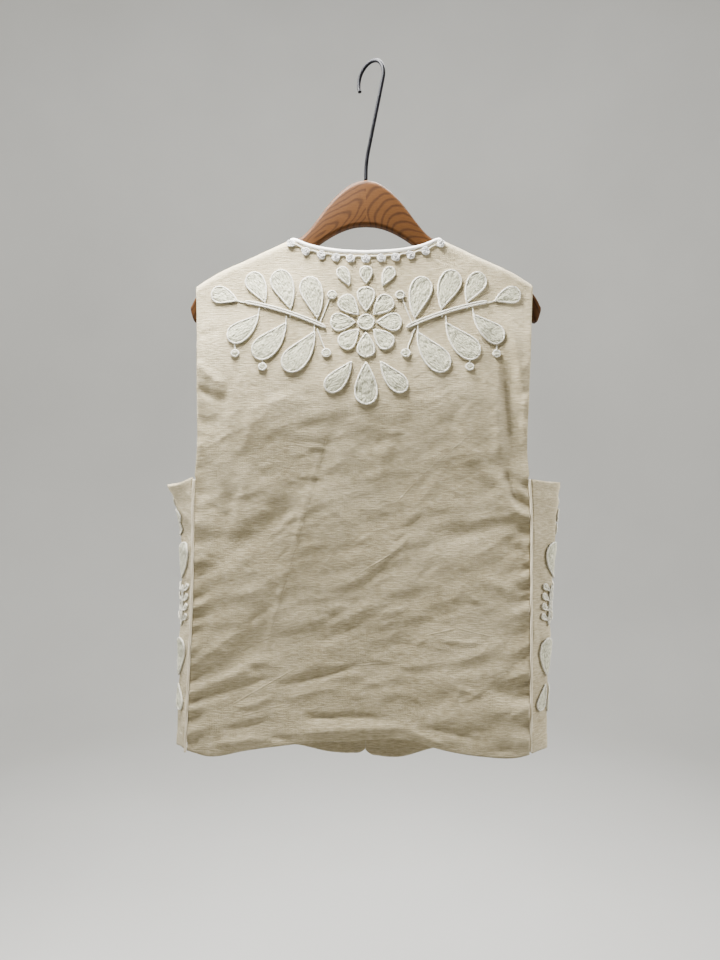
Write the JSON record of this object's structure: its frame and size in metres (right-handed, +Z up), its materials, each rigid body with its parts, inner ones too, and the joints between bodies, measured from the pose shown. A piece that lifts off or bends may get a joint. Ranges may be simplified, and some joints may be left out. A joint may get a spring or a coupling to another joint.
{
  "type": "waistcoat on a hanger",
  "caption": "Sleeveless linen waistcoat with raised applique and a bound neck, hanging on a wooden hanger with a wire hook.",
  "frame": {"origin": "the hook's inner top, where a rail holds it", "axes": "+Z up, +X to the wearer's right, +Y to the wearer's front; the back of the garment faces -Y"},
  "size_m": [0.441, 0.068, 0.7833],
  "materials": {
    "linen": "matte woven natural linen",
    "cord": "matte off-white cotton cord",
    "cedar": "satin lacquered softwood",
    "black_wire": "gloss black"
  },
  "bodies": {
    "root": {"back": "linen", "front_left": "linen", "front_right": "linen", "neck_binding": "cord", "piping_left": "cord", "piping_right": "cord", "rosette_01": "cord", "rosette_02": "cord", "rosette_03": "cord", "rosette_04": "cord", "rosette_05": "cord", "rosette_06": "cord", "rosette_07": "cord", "rosette_08": "cord", "rosette_09": "cord", "rosette_10": "cord", "rosette_11": "cord", "hanger": "cedar", "hook": "black_wire"}
  },
  "joints": []
}
